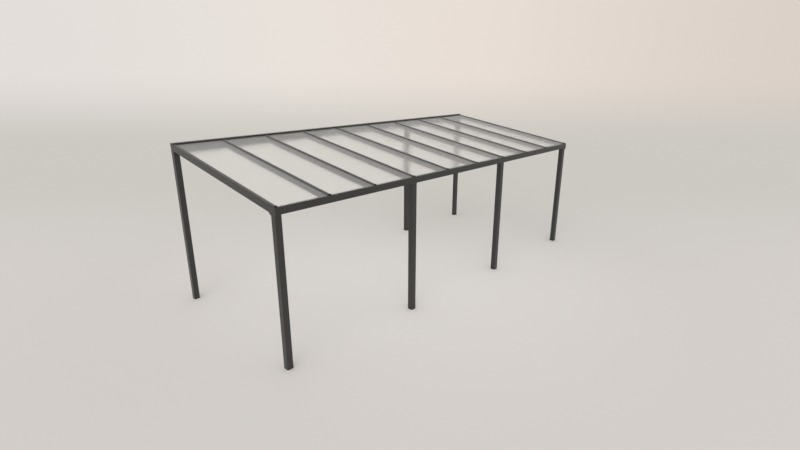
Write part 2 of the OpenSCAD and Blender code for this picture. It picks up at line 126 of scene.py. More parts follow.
def powder_coat(colour):
    """Powder-coated aluminium, fine-textured matt."""
    # Sprayed and baked polyester powder: an even dark grey whose fine orange-peel grain breaks up the
    # sheen. The real grain is near 1 mm and is drawn at 5 mm, or it wouldn't show from the garden.
    grain_mm, cloud_mm, dust_mm = 5, 420, 90
    grain_height, cloud_share, dust_colour = 0.2 * MM, 0.06, linear("#8D8A82")
    material, tree, surface = new_material("powder_coated_aluminium")
    place = add(tree, "ShaderNodeTexCoord").outputs["Object"]
    grain = add(tree, "ShaderNodeTexNoise", {"Vector": place, "Scale": 1 / (grain_mm * MM), "Detail": 2.0})
    cloud = add(tree, "ShaderNodeTexNoise", {"Vector": place, "Scale": 1 / (cloud_mm * MM), "Detail": 3.0})
    dust = add(tree, "ShaderNodeTexNoise", {"Vector": place, "Scale": 1 / (dust_mm * MM), "Detail": 5.0})
    facing = add(tree, "ShaderNodeSeparateXYZ", {0: add(tree, "ShaderNodeNewGeometry").outputs["Normal"]})
    # dust settles only where a face looks up
    upward = add(
        tree,
        "ShaderNodeMapRange",
        {"Value": facing.outputs["Z"], "From Min": 0.6, "From Max": 1.0},
        interpolation_type="SMOOTHSTEP",
    )
    patches = add(
        tree,
        "ShaderNodeMapRange",
        {"Value": dust.outputs["Fac"], "From Min": 0.35, "From Max": 0.75, "To Min": 0.02, "To Max": 0.12},
    )
    dusty = add(
        tree,
        "ShaderNodeMath",
        {0: upward.outputs["Result"], 1: patches.outputs["Result"]},
        operation="MULTIPLY",
    )
    shade = add(
        tree, "ShaderNodeMapRange", {"Value": cloud.outputs["Fac"], "From Min": 0.3, "From Max": 0.7}
    )
    coat = add(
        tree,
        "ShaderNodeMix",
        {
            "Factor": shade.outputs["Result"],
            "A": scaled(colour, 1 - cloud_share),
            "B": scaled(colour, 1 + cloud_share),
        },
        data_type="RGBA",
    )
    colours = add(
        tree,
        "ShaderNodeMix",
        {"Factor": dusty.outputs[0], "A": coat.outputs["Result"], "B": dust_colour},
        data_type="RGBA",
    )
    gloss = add(
        tree,
        "ShaderNodeMapRange",
        {"Value": cloud.outputs["Fac"], "From Min": 0.3, "From Max": 0.7, "To Min": 0.28, "To Max": 0.34},
    )
    relief = add(
        tree,
        "ShaderNodeBump",
        {"Height": grain.outputs["Fac"], "Strength": 0.25, "Distance": grain_height},
    )
    shader = add(
        tree,
        "ShaderNodeBsdfPrincipled",
        {
            "Base Color": colours.outputs["Result"],
            "Roughness": gloss.outputs["Result"],
            "IOR": 1.5,
            "Normal": relief.outputs["Normal"],
        },
    )
    tree.links.new(shader.outputs[0], surface)
    return material


def satin_glass(colour, flat_shade_colour, edge_colour):
    """Satin-etched toughened glass."""
    # Acid-etched on both faces: a faint milky veil and a blur over what lies behind it. The etching lowers
    # the gloss, hence an IOR below the 1.52 of clear glass. Seen at a flat angle it is painted a little
    # greyer, a painted shade; the longer way of the light through the pane darkens it only slightly. It is
    # greener through its edges, and fine patches come from the etching and from dried rain.
    etch_mm, rain_mm = 35, 300
    flat_from, flat_to, edge_below, clear = 0.745, 0.815, 0.5, linear("#FEFFFE")
    material, tree, surface = new_material("satin_etched_glass")
    place = add(tree, "ShaderNodeTexCoord").outputs["Object"]
    etch = add(tree, "ShaderNodeTexNoise", {"Vector": place, "Scale": 1 / (etch_mm * MM), "Detail": 3.0})
    rain = add(tree, "ShaderNodeTexNoise", {"Vector": place, "Scale": 1 / (rain_mm * MM), "Detail": 4.0})
    facing = add(tree, "ShaderNodeSeparateXYZ", {0: add(tree, "ShaderNodeNewGeometry").outputs["Normal"]})
    upright = add(tree, "ShaderNodeMath", {0: facing.outputs["Z"]}, operation="ABSOLUTE")
    edge = add(tree, "ShaderNodeMath", {0: upright.outputs[0], 1: edge_below}, operation="LESS_THAN")
    # painted shade: the pane turns greyer where it is seen at a flat angle
    flat = add(
        tree,
        "ShaderNodeMapRange",
        {
            "Value": add(tree, "ShaderNodeLayerWeight", {"Blend": 0.5}).outputs["Facing"],
            "From Min": flat_from,
            "From Max": flat_to,
        },
    )
    through = add(
        tree,
        "ShaderNodeMix",
        {"Factor": flat.outputs["Result"], "A": colour, "B": flat_shade_colour},
        data_type="RGBA",
    )
    tint = add(
        tree,
        "ShaderNodeMix",
        {"Factor": edge.outputs[0], "A": through.outputs["Result"], "B": edge_colour},
        data_type="RGBA",
    )
    both = add(tree, "ShaderNodeMath", {0: etch.outputs["Fac"], 1: rain.outputs["Fac"]}, operation="ADD")
    blur = add(
        tree,
        "ShaderNodeMapRange",
        {"Value": both.outputs[0], "From Min": 0.7, "From Max": 1.3, "To Min": 0.19, "To Max": 0.23},
    )
    shader = add(
        tree,
        "ShaderNodeBsdfPrincipled",
        {
            "Base Color": tint.outputs["Result"],
            "Roughness": blur.outputs["Result"],
            "IOR": 1.09,
            "Transmission Weight": 0.915,
        },
    )
    # lamps and the floor's light reach through, so that the cover throws the light shade of real glass
    path = add(tree, "ShaderNodeLightPath")
    lit = add(
        tree,
        "ShaderNodeMath",
        {0: path.outputs["Is Shadow Ray"], 1: path.outputs["Is Diffuse Ray"]},
        operation="MAXIMUM",
    )
    passed = add(tree, "ShaderNodeBsdfTransparent", {"Color": clear})
    mixed = add(
        tree, "ShaderNodeMixShader", {0: lit.outputs[0], 1: shader.outputs[0], 2: passed.outputs[0]}
    )
    tree.links.new(mixed.outputs[0], surface)
    return material


def epdm_rubber(colour):
    """Extruded EPDM rubber."""
    # Glazing seals squeezed from a die: dull near-black with a faint grey bloom and fine drag lines.
    bloom_mm, line_mm = 60, 2
    line_depth, bloom_colour = 0.1 * MM, linear("#4A4A48")
    material, tree, surface = new_material("epdm_rubber")
    place = add(tree, "ShaderNodeTexCoord").outputs["Object"]
    bloom = add(tree, "ShaderNodeTexNoise", {"Vector": place, "Scale": 1 / (bloom_mm * MM), "Detail": 4.0})
    lines = add(tree, "ShaderNodeTexNoise", {"Vector": place, "Scale": 1 / (line_mm * MM), "Detail": 1.0})
    amount = add(
        tree,
        "ShaderNodeMapRange",
        {"Value": bloom.outputs["Fac"], "From Min": 0.4, "From Max": 0.8, "To Min": 0.0, "To Max": 0.25},
    )
    colours = add(
        tree,
        "ShaderNodeMix",
        {"Factor": amount.outputs["Result"], "A": colour, "B": bloom_colour},
        data_type="RGBA",
    )
    relief = add(
        tree, "ShaderNodeBump", {"Height": lines.outputs["Fac"], "Strength": 0.3, "Distance": line_depth}
    )
    shader = add(
        tree,
        "ShaderNodeBsdfPrincipled",
        {
            "Base Color": colours.outputs["Result"],
            "Roughness": 0.72,
            "IOR": 1.5,
            "Normal": relief.outputs["Normal"],
        },
    )
    tree.links.new(shader.outputs[0], surface)
    return material


def galvanised_steel(colour):
    """Hot-dip galvanised steel."""
    # Welded brackets dipped in zinc: dull metal with frosty crystals about 12 mm across.
    crystal_mm, dullest, brightest = 12, 0.8, 1.08
    material, tree, surface = new_material("galvanised_steel")
    place = add(tree, "ShaderNodeTexCoord").outputs["Object"]
    crystals = add(tree, "ShaderNodeTexVoronoi", {"Vector": place, "Scale": 1 / (crystal_mm * MM)})
    tone = add(tree, "ShaderNodeSeparateColor", {0: crystals.outputs["Color"]})
    colours = add(
        tree,
        "ShaderNodeMix",
        {"Factor": tone.outputs[0], "A": scaled(colour, dullest), "B": scaled(colour, brightest)},
        data_type="RGBA",
    )
    gloss = add(
        tree,
        "ShaderNodeMapRange",
        {"Value": tone.outputs[1], "To Min": 0.38, "To Max": 0.58},
    )
    shader = add(
        tree,
        "ShaderNodeBsdfPrincipled",
        {"Base Color": colours.outputs["Result"], "Roughness": gloss.outputs["Result"], "Metallic": 1.0},
    )
    tree.links.new(shader.outputs[0], surface)
    return material


def moulded_plastic(colour):
    """Injection-moulded polypropylene."""
    # The outlets: dark, slightly waxy, with the fine spark-eroded grain of the mould.
    grain_mm, grain_depth, tone_share = 3, 0.1 * MM, 0.1
    material, tree, surface = new_material("moulded_polypropylene")
    place = add(tree, "ShaderNodeTexCoord").outputs["Object"]
    grain = add(tree, "ShaderNodeTexNoise", {"Vector": place, "Scale": 1 / (grain_mm * MM), "Detail": 2.0})
    colours = add(
        tree,
        "ShaderNodeMix",
        {
            "Factor": grain.outputs["Fac"],
            "A": scaled(colour, 1 - tone_share),
            "B": scaled(colour, 1 + tone_share),
        },
        data_type="RGBA",
    )
    relief = add(
        tree, "ShaderNodeBump", {"Height": grain.outputs["Fac"], "Strength": 0.3, "Distance": grain_depth}
    )
    shader = add(
        tree,
        "ShaderNodeBsdfPrincipled",
        {
            "Base Color": colours.outputs["Result"],
            "Roughness": 0.48,
            "IOR": 1.49,
            "Normal": relief.outputs["Normal"],
        },
    )
    tree.links.new(shader.outputs[0], surface)
    return material


def painted_stainless(colour):
    """Stainless steel screws with heads painted to match the frame."""
    # Stove paint on a pressed head: the frame's grey, a little smoother, chipped to bare steel in spots.
    chip_mm, paler, steel_colour = 1.5, 1.2, linear("#8E8D8A")
    material, tree, surface = new_material("painted_stainless_steel")
    place = add(tree, "ShaderNodeTexCoord").outputs["Object"]
    chips = add(tree, "ShaderNodeTexNoise", {"Vector": place, "Scale": 1 / (chip_mm * MM), "Detail": 3.0})
    bare = add(
        tree, "ShaderNodeMapRange", {"Value": chips.outputs["Fac"], "From Min": 0.66, "From Max": 0.7}
    )
    colours = add(
        tree,
        "ShaderNodeMix",
        {"Factor": bare.outputs["Result"], "A": scaled(colour, paler), "B": steel_colour},
        data_type="RGBA",
    )
    shader = add(
        tree,
        "ShaderNodeBsdfPrincipled",
        {"Base Color": colours.outputs["Result"], "Roughness": 0.4, "IOR": 1.5},
    )
    tree.links.new(shader.outputs[0], surface)
    return material


def silicone(colour):
    """Neutral-cure silicone sealant."""
    # A tooled bead: dark, soft-looking, a little shinier than the paint beside it.
    ripple_mm, darker, paler = 25, 0.9, 1.15
    material, tree, surface = new_material("silicone_sealant")
    place = add(tree, "ShaderNodeTexCoord").outputs["Object"]
    ripple = add(
        tree, "ShaderNodeTexNoise", {"Vector": place, "Scale": 1 / (ripple_mm * MM), "Detail": 2.0}
    )
    gloss = add(
        tree,
        "ShaderNodeMapRange",
        {"Value": ripple.outputs["Fac"], "From Min": 0.3, "From Max": 0.7, "To Min": 0.3, "To Max": 0.42},
    )
    colours = add(
        tree,
        "ShaderNodeMix",
        {"Factor": ripple.outputs["Fac"], "A": scaled(colour, darker), "B": scaled(colour, paler)},
        data_type="RGBA",
    )
    shader = add(
        tree,
        "ShaderNodeBsdfPrincipled",
        {"Base Color": colours.outputs["Result"], "Roughness": gloss.outputs["Result"], "IOR": 1.41},
    )
    tree.links.new(shader.outputs[0], surface)
    return material


# ------------------------------------------------------------------ places on the sloping roof


def roof_normal():
    """The unit normal of the glass, read from its largest face."""
    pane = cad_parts[PANES[0]].data
    normal = max(pane.polygons, key=lambda face: face.area).normal.copy()
    return normal if normal.z > 0 else -normal


NORMAL = roof_normal()
PITCH = math.atan2(-NORMAL.y, NORMAL.z)
UPHILL = Vector((0.0, math.cos(PITCH), math.sin(PITCH)))


def sloping(node):
    """Run and rise of a node that is square to the roof, and a function from (x, run, rise) to a point."""
    low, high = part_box(node)
    across, up = high.y - low.y, high.z - low.z
    c, s = math.cos(PITCH), math.sin(PITCH)
    run = (across * c - up * s) / (c * c - s * s)
    rise = (up * c - across * s) / (c * c - s * s)

    def place(x, along, above):
        return Vector((x, low.y + rise * s, low.z)) + UPHILL * along + NORMAL * above

    return run, rise, place


def rafter_centres():
    """The middle of each rafter across the roof, from the left."""
    return sorted(sum(corner.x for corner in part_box(name)) / 2 for name in RAFTERS)


# ------------------------------------------------------------------ geometry nodes


WELD = 0.01 * MM
ROW_COUNTS = ("Screws per row", "Seed")
HEX_SIDES = 6


def new_tree(name, sizes, counts=()):
    """A geometry node tree with named length and count inputs: the tree, its group input and its output."""
    tree = bpy.data.node_groups.new(name, "GeometryNodeTree")
    tree.interface.new_socket("Geometry", in_out="INPUT", socket_type="NodeSocketGeometry")
    for size in sizes:
        socket = tree.interface.new_socket(size, in_out="INPUT", socket_type="NodeSocketFloat")
        socket.subtype = "DISTANCE"
    for count in counts:
        tree.interface.new_socket(count, in_out="INPUT", socket_type="NodeSocketInt")
    tree.interface.new_socket("Geometry", in_out="OUTPUT", socket_type="NodeSocketGeometry")
    given = add(tree, "NodeGroupInput").outputs
    output = add(tree, "NodeGroupOutput").inputs["Geometry"]
    return tree, given, output


def total(tree, *sizes):
    """The sum of size sockets."""
    whole = sizes[0]
    for size in sizes[1:]:
        whole = add(tree, "ShaderNodeMath", {0: whole, 1: size}, operation="ADD").outputs[0]
    return whole


def raised(tree, geometry, height):
    """A geometry moved up by a size."""
    lift = add(tree, "ShaderNodeCombineXYZ", {"Z": height})
    moved = add(tree, "GeometryNodeTransform", {"Geometry": geometry, "Translation": lift.outputs[0]})
    return moved.outputs[0]


def disc(tree, sides, radius, height):
    """A round plate that looks up, at a height."""
    plate = add(tree, "GeometryNodeMeshCircle", {"Vertices": sides, "Radius": radius}, fill_type="NGON")
    return raised(tree, plate.outputs[0], height)


def turned(tree, sides, outline):
    """A closed turned solid; its outline is (radius, height) sockets or numbers, from its foot up."""
    walls = []
    for (low_r, low_z), (high_r, high_z) in zip(outline, outline[1:]):
        depth = add(tree, "ShaderNodeMath", {0: high_z, 1: low_z}, operation="SUBTRACT")
        wall = add(
            tree,
            "GeometryNodeMeshCone",
            {"Vertices": sides, "Radius Bottom": low_r, "Radius Top": high_r, "Depth": depth.outputs[0]},
            fill_type="NONE",
        )
        walls.append(raised(tree, wall.outputs["Mesh"], low_z))
    foot = add(tree, "GeometryNodeFlipFaces", {0: disc(tree, sides, *outline[0])}).outputs[0]
    whole = add(tree, "GeometryNodeJoinGeometry", {0: [*walls, foot, disc(tree, sides, *outline[-1])]})
    weld = add(tree, "GeometryNodeMergeByDistance", {"Geometry": whole.outputs[0], "Distance": WELD})
    return weld.outputs[0]


def times(tree, size, factor):
    """A size socket times a number."""
    return add(tree, "ShaderNodeMath", {0: size, 1: factor}, operation="MULTIPLY").outputs[0]


def placed_on_rows(tree, given, head, material):
    """Ends a screw tree: the head stands on every point of the rows, square to "axis", turned at random."""
    rows = add(tree, "GeometryNodeMeshToCurve", {"Mesh": given["Geometry"]})
    points = add(
        tree,
        "GeometryNodeResampleCurve",
        {"Curve": rows.outputs[0], "Count": given["Screws per row"]},
    )
    axis = add(tree, "GeometryNodeInputNamedAttribute", {"Name": "axis"}, data_type="FLOAT_VECTOR")
    upright = add(
        tree, "FunctionNodeAlignRotationToVector", {"Vector": axis.outputs["Attribute"]}, axis="Z"
    )
    turn = add(
        tree,
        "FunctionNodeRandomValue",
        {"Max": math.tau, "Seed": given["Seed"]},
        data_type="FLOAT",
    )
    spin = add(
        tree,
        "FunctionNodeAxisAngleToRotation",
        {"Axis": (0.0, 0.0, 1.0), "Angle": turn.outputs["Value"]},
    )
    rotation = add(
        tree,
        "FunctionNodeRotateRotation",
        {"Rotation": upright.outputs[0], "Rotate By": spin.outputs[0]},
        rotation_space="LOCAL",
    )
    instances = add(
        tree,
        "GeometryNodeInstanceOnPoints",
        {"Points": points.outputs[0], "Instance": head, "Rotation": rotation.outputs[0]},
    )
    real = add(tree, "GeometryNodeRealizeInstances", {0: instances.outputs[0]})
    done = add(tree, "GeometryNodeSetMaterial", {"Geometry": real.outputs[0], "Material": material})
    return done.outputs[0]


def hex_screw_tree(paint, rubber):
    """Hexagon flange head on a bonded sealing washer, for the cover strips."""
    # From the foot up: a squeezed rubber ring, the domed washer on it, the flange, and the hexagon with its
    # bevelled top. Each share is of the washer's, flange's or head's own radius or height.
    sides, thin, ring_foot, ring_rim, washer_rim = 20, 0.8, 0.9, 0.94, 0.9
    flange_share, taper = 0.66, 0.86
    tree, given, output = new_tree(
        "hexagon_screws",
        ("Across flats", "Head height", "Washer diameter", "Washer thickness"),
        ROW_COUNTS,
    )
    washer_r, washer_t = times(tree, given["Washer diameter"], 0.5), given["Washer thickness"]
    flange_r = times(tree, given["Across flats"], flange_share)
    corner_r = times(tree, given["Across flats"], 0.5 / math.cos(math.pi / HEX_SIDES))
    ring_top = times(tree, washer_t, thin)
    washer_top = total(tree, ring_top, washer_t)
    flange_top = total(tree, washer_top, times(tree, washer_t, thin))
    bevel = total(tree, flange_top, times(tree, given["Head height"], taper))
    head_top = total(tree, flange_top, given["Head height"])
    ring_outline = [
        (times(tree, washer_r, ring_foot), 0.0),
        (times(tree, washer_r, ring_rim), ring_top),
    ]
    washer_outline = [
        (washer_r, ring_top),
        (times(tree, washer_r, washer_rim), washer_top),
        (flange_r, washer_top),
        (times(tree, flange_r, taper), flange_top),
    ]
    hexagon_outline = [
        (corner_r, flange_top),
        (corner_r, bevel),
        (times(tree, corner_r, taper), head_top),
    ]
    ring = turned(tree, sides, ring_outline)
    parts = [turned(tree, sides, washer_outline), turned(tree, HEX_SIDES, hexagon_outline)]
    metal = add(tree, "GeometryNodeJoinGeometry", {0: parts}).outputs[0]
    made = [placed_on_rows(tree, given, metal, paint), placed_on_rows(tree, given, ring, rubber)]
    tree.links.new(add(tree, "GeometryNodeJoinGeometry", {0: made}).outputs[0], output)
    return tree


def socket_screw_tree(name, paint, shape):
    """A turned head with a hexagon socket; shape gives its outline as shares of radius and height."""
    tree, given, output = new_tree(name, ("Head diameter", "Head height"), ROW_COUNTS)
    sides, key_share, floor_share = 24, 0.44, 0.45
    radius = times(tree, given["Head diameter"], 0.5)
    height = given["Head height"]
    outline = [(times(tree, radius, wide), times(tree, height, high)) for wide, high in shape]
    key_r = times(tree, radius, key_share)
    key_foot = times(tree, height, floor_share)
    key = turned(tree, HEX_SIDES, [(key_r, key_foot), (key_r, total(tree, key_foot, height))])
    head = add(
        tree,
        "GeometryNodeMeshBoolean",
        {"Mesh 1": turned(tree, sides, outline), "Mesh 2": [key]},
        operation="DIFFERENCE",
    )
    tree.links.new(placed_on_rows(tree, given, head.outputs["Mesh"], paint), output)
    return tree


def bead_tree(sealant):
    """A round bead of sealant along each edge, a little thinner in places."""
    stations, sides, waves_per_metre, thinnest = 120, 10, 9.0, 0.8
    tree, given, output = new_tree("sealant_beads", ("Bead diameter",))
    path = add(tree, "GeometryNodeMeshToCurve", {"Mesh": given["Geometry"]})
    path = add(tree, "GeometryNodeResampleCurve", {"Curve": path.outputs[0], "Count": stations})
    wander = add(tree, "ShaderNodeTexNoise", {"Scale": waves_per_metre, "Detail": 2.0})
    width = add(
        tree,
        "ShaderNodeMapRange",
        {"Value": wander.outputs["Fac"], "From Min": 0.3, "From Max": 0.7, "To Min": thinnest},
    )
    path = add(
        tree, "GeometryNodeSetCurveRadius", {"Curve": path.outputs[0], "Radius": width.outputs["Result"]}
    )
    radius = times(tree, given["Bead diameter"], 0.5)
    profile = add(tree, "GeometryNodeCurvePrimitiveCircle", {"Resolution": sides, "Radius": radius})
    bead = add(
        tree,
        "GeometryNodeCurveToMesh",
        {"Curve": path.outputs[0], "Profile Curve": profile.outputs["Curve"], "Fill Caps": True},
    )
    real = add(tree, "GeometryNodeRealizeInstances", {0: bead.outputs[0]})
    done = add(tree, "GeometryNodeSetMaterial", {"Geometry": real.outputs[0], "Material": sealant})
    tree.links.new(done.outputs[0], output)
    return tree


def grow(name, tree, rows, values):
    """Makes a piece from rows of (start, end, axis) by a geometry node tree, and leaves a plain mesh."""
    mesh = bpy.data.meshes.new(name)
    points = [point for start, end, _ in rows for point in (start, end)]
    mesh.from_pydata(points, [(2 * k, 2 * k + 1) for k in range(len(rows))], [])
    axes = mesh.attributes.new("axis", "FLOAT_VECTOR", "POINT")
    axes.data.foreach_set("vector", [c for _, _, axis in rows for _ in (0, 1) for c in axis])
    piece = bpy.data.objects.new(name, mesh)
    bpy.context.scene.collection.objects.link(piece)
    modifier = piece.modifiers.new(name, "NODES")
    modifier.node_group = tree
    for item in tree.interface.items_tree:
        if item.name in values:
            modifier[item.identifier] = values[item.name]
    evaluated = piece.evaluated_get(bpy.context.evaluated_depsgraph_get())
    grown = bpy.data.meshes.new_from_object(evaluated)
    piece.modifiers.remove(modifier)
    piece.data = grown
    bpy.data.meshes.remove(mesh)
    grown.name = name
    if not grown.polygons:
        raise RuntimeError(f"{name} came out empty")
    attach(piece, BODY)
    return piece


# ------------------------------------------------------------------ settings


class PatioFinish(bpy.types.PropertyGroup):
    """Colours of the cover's finishes."""

    paint: FloatVectorProperty(
        name="Frame paint",
        description="Powder coat of the posts, beams, gutter and strips",
        subtype="COLOR",
        default=linear("#2A2A28"),
    )
    glass: FloatVectorProperty(
        name="Glass",
        description="Tint of the satin glass seen through its faces",
        subtype="COLOR",
        default=linear("#FBFAF9"),
    )
    # painted shade: the glass's greyer tint at a flat view
    glass_flat_shade: FloatVectorProperty(
        name="Glass, flat view",
        description="Tint of the satin glass seen at a flat angle",
        subtype="COLOR",
        default=linear("#E2E6E8"),
    )
    glass_edge: FloatVectorProperty(
        name="Glass edge",
        description="Tint of the glass seen through its edges",
        subtype="COLOR",
        default=linear("#B9CCC2"),
    )
    rubber: FloatVectorProperty(
        name="Seals",
        description="Rubber of the glazing seals and sealing washers",
        subtype="COLOR",
        default=linear("#161616"),
    )
    zinc: FloatVectorProperty(
        name="Brackets",
        description="Zinc on the feet and heads inside the posts",
        subtype="COLOR",
        default=linear("#A9ABAC"),
    )
    plastic: FloatVectorProperty(
        name="Outlets",
        description="Plastic of the gutter outlets",
        subtype="COLOR",
        default=linear("#2B2B2B"),
    )


class PatioFasteners(bpy.types.PropertyGroup):
    """Sizes of the screws and of the sealant."""

    strip_pitch: FloatProperty(
        name="Strip screw pitch",
        description="Distance between the screws of a cover strip",
        unit="LENGTH",
        default=0.3,
    )
    strip_end: FloatProperty(
        name="Strip end distance",
        description="From the end of a cover strip to its first screw",
        unit="LENGTH",
        default=0.06,
    )
    hex_flats: FloatProperty(
        name="Across flats", description="Width of the hexagon heads", unit="LENGTH", default=0.008
    )
    hex_height: FloatProperty(
        name="Hexagon height", description="Height of the hexagon heads", unit="LENGTH", default=0.004
    )
    washer_d: FloatProperty(
        name="Washer diameter", description="Diameter of the sealing washers", unit="LENGTH", default=0.014
    )
    washer_t: FloatProperty(
        name="Washer thickness",
        description="Thickness of the sealing washers",
        unit="LENGTH",
        default=0.001,
    )
    button_d: FloatProperty(
        name="Button head diameter",
        description="Diameter of the round heads",
        unit="LENGTH",
        default=0.0105,
    )
    button_h: FloatProperty(
        name="Button head height", description="Height of the round heads", unit="LENGTH", default=0.0027
    )
    small_d: FloatProperty(
        name="Small head diameter",
        description="Diameter of the round heads on sheet and small plates",
        unit="LENGTH",
        default=0.007,
    )
    small_h: FloatProperty(
        name="Small head height",
        description="Height of the round heads on sheet and small plates",
        unit="LENGTH",
        default=0.0022,
    )
    sunk_d: FloatProperty(
        name="Countersunk head diameter",
        description="Diameter of the flush heads in the gutter's end plates",
        unit="LENGTH",
        default=0.0086,
    )
    sunk_h: FloatProperty(
        name="Countersunk head height",
        description="Height of the flush heads in the gutter's end plates",
        unit="LENGTH",
        default=0.002,
    )
    bead_d: FloatProperty(
        name="Bead diameter", description="Thickness of the sealant bead", unit="LENGTH", default=0.004
    )
    seed: IntProperty(name="Seed", description="Seed of the screws' random turn", default=7)


class PatioStage(bpy.types.PropertyGroup):
    """Floor, light and camera."""

    # painted light: the floor's paler colour below the cover
    pool: FloatVectorProperty(
        name="Floor below",
        description="Colour of the studio floor below the cover",
        subtype="COLOR",
        default=linear("#E1DCD8"),
    )
    floor: FloatVectorProperty(
        name="Floor", description="Colour of the studio floor", subtype="COLOR", default=linear("#D1CCC8")
    )
    shade: FloatVectorProperty(
        name="Floor beyond",
        description="Colour of the studio floor beyond the cover",
        subtype="COLOR",
        default=linear("#C9C6C0"),
    )
    sky_level: FloatProperty(
        name="Surrounding light", description="Strength of the even light from all sides", default=1.06
    )
    sun_level: FloatProperty(
        name="Key light", description="Strength of the broad light from above", default=0.7
    )
    lens: FloatProperty(
        name="Lens", description="Focal length on a 36 mm wide sensor", unit="CAMERA", default=21.65
    )


# ------------------------------------------------------------------ operators


def materials():
    """The cover's materials by name, made on first use."""
    made = bpy.data.materials
    if "powder_coated_aluminium" not in made:
        look = bpy.context.scene.patio_finish
        powder_coat(tuple(look.paint))
        satin_glass(tuple(look.glass), tuple(look.glass_flat_shade), tuple(look.glass_edge))
        epdm_rubber(tuple(look.rubber))
        galvanised_steel(tuple(look.zinc))
        moulded_plastic(tuple(look.plastic))
        painted_stainless(tuple(look.paint))
        silicone(tuple(look.rubber))
    return made


class PATIO_OT_frame(bpy.types.Operator):
    """Powder-coats the posts, beams, rafters, gutter, strips and their small parts"""

    bl_idname = "patio.frame"
    bl_label = "Frame"

    def execute(self, context):
        finish_nodes(PAINTED, materials()["powder_coated_aluminium"])
        return {"FINISHED"}


class PATIO_OT_glazing(bpy.types.Operator):
    """Finishes the glass panes and their rubber seals"""

    bl_idname = "patio.glazing"
    bl_label = "Glazing"

    def execute(self, context):
        finish_nodes(PANES, materials()["satin_etched_glass"])
        finish_nodes(SEALS, materials()["epdm_rubber"])
        return {"FINISHED"}


class PATIO_OT_brackets(bpy.types.Operator):
    """Finishes the brackets inside the posts and the gutter's outlets"""

    bl_idname = "patio.brackets"
    bl_label = "Brackets and outlets"

    def execute(self, context):
        finish_nodes(BRACKETS, materials()["galvanised_steel"])
        finish_nodes(OUTLETS, materials()["moulded_polypropylene"])
        return {"FINISHED"}


class PATIO_OT_strip_screws(bpy.types.Operator):
    """Screws the cover strips down, with a sealing washer under each head"""

    bl_idname = "patio.strip_screws"
    bl_label = "Strip screws"

    def execute(self, context):
        sizes = context.scene.patio_fasteners
        # the upstands of the side beams, and so their screws, stand near the roof's sides
        side_in = 8 * MM
        tree = hex_screw_tree(materials()["painted_stainless_steel"], materials()["epdm_rubber"])
        run, rise, place = sloping("cover_strips")
        low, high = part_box("cover_strips_side")
        lines = [low.x + side_in, *rafter_centres(), high.x - side_in]
        start, end = sizes.strip_end, run - sizes.strip_end
        rows = [(place(x, start, rise), place(x, end, rise), NORMAL) for x in lines]
        values = {
            "Across flats": sizes.hex_flats,
            "Head height": sizes.hex_height,
            "Washer diameter": sizes.washer_d,
            "Washer thickness": sizes.washer_t,
            "Screws per row": round((end - start) / sizes.strip_pitch) + 1,
            "Seed": sizes.seed,
        }
        grow("strip_screws", tree, rows, values)
        return {"FINISHED"}


# outlines of screw heads, from the foot up: shares of the radius and of the height
BUTTON = [(1.0, 0.0), (0.97, 0.25), (0.84, 0.6), (0.6, 1.0)]
FLUSH = [(0.55, 0.0), (0.98, 0.9), (0.95, 1.0)]


def button_rows(name, rows, diameter, height, count, seed):
    """Round socket heads on rows."""
    tree = bpy.data.node_groups.get("button_screws") or socket_screw_tree(
        "button_screws", materials()["painted_stainless_steel"], BUTTON
    )
    values = {"Head diameter": diameter, "Head height": height, "Screws per row": count, "Seed": seed}
    return grow(name, tree, rows, values)


class PATIO_OT_stop_screws(bpy.types.Operator):
    """Screws each glass stop to the nose of its glazing bar"""

    bl_idname = "patio.stop_screws"
    bl_label = "Glass stop screws"

    def execute(self, context):
        sizes = context.scene.patio_fasteners
        half_gap, above, per_row = 11 * MM, 40 * MM, 2
        place = sloping("glass_stops")[2]
        low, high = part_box("glass_stops")
        bars = rafter_centres()
        half_width = bars[0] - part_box("cover_strips")[0].x
        middles = [low.x + half_width, *bars, high.x - half_width]
        rows = [(place(x - half_gap, 0, above), place(x + half_gap, 0, above), -UPHILL) for x in middles]
        button_rows("glass_stop_screws", rows, sizes.small_d, sizes.small_h, per_row, sizes.seed)
        return {"FINISHED"}


class PATIO_OT_end_plate_screws(bpy.types.Operator):
    """Fills the countersunk holes of the gutter's end plates with flush screws"""

    bl_idname = "patio.end_plate_screws"
    bl_label = "End plate screws"

    def execute(self, context):
        sizes = context.scene.patio_fasteners
        corner_in, port_up, below = 7 * MM, 25 * MM, 0.15 * MM
        gutter_low, gutter_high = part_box("front_gutter")
        holes = [
            (gutter_low.y + corner_in, gutter_low.z + corner_in),
            (gutter_low.y + corner_in, gutter_high.z - port_up),
            (gutter_high.y - corner_in, gutter_low.z + port_up),
        ]
        rows = []
        for node, side in (("gutter_end_plate_left", -1), ("gutter_end_plate_right", 1)):
            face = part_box(node)[0].x if side < 0 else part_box(node)[1].x
            x = face - side * (sizes.sunk_h + below)
            for y, z in holes:
                rows.append((Vector((x, y, z)), Vector((x + side * MM, y, z)), Vector((side, 0, 0))))
        tree = socket_screw_tree("flush_screws", materials()["painted_stainless_steel"], FLUSH)
        values = {
            "Head diameter": sizes.sunk_d,
            "Head height": sizes.sunk_h,
            "Screws per row": 1,
            "Seed": sizes.seed,
        }
        grow("end_plate_screws", tree, rows, values)
        return {"FINISHED"}


class PATIO_OT_post_screws(bpy.types.Operator):
    """Screws the posts to the brackets at their feet and heads"""

    bl_idname = "patio.post_screws"
    bl_label = "Post screws"

    def execute(self, context):
        sizes = context.scene.patio_fasteners
        near, far, per_row = 35 * MM, 90 * MM, 2
        rows = []
        for name in POSTS:
            low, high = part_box(name)
            y = (low.y + high.y) / 2
            for x, side in ((low.x, -1), (high.x, 1)):
                for z0, z1 in ((low.z + near, low.z + far), (high.z - far, high.z - near)):
                    rows.append((Vector((x, y, z0)), Vector((x, y, z1)), Vector((side, 0, 0))))
        button_rows("post_screws", rows, sizes.button_d, sizes.button_h, per_row, sizes.seed)
        return {"FINISHED"}


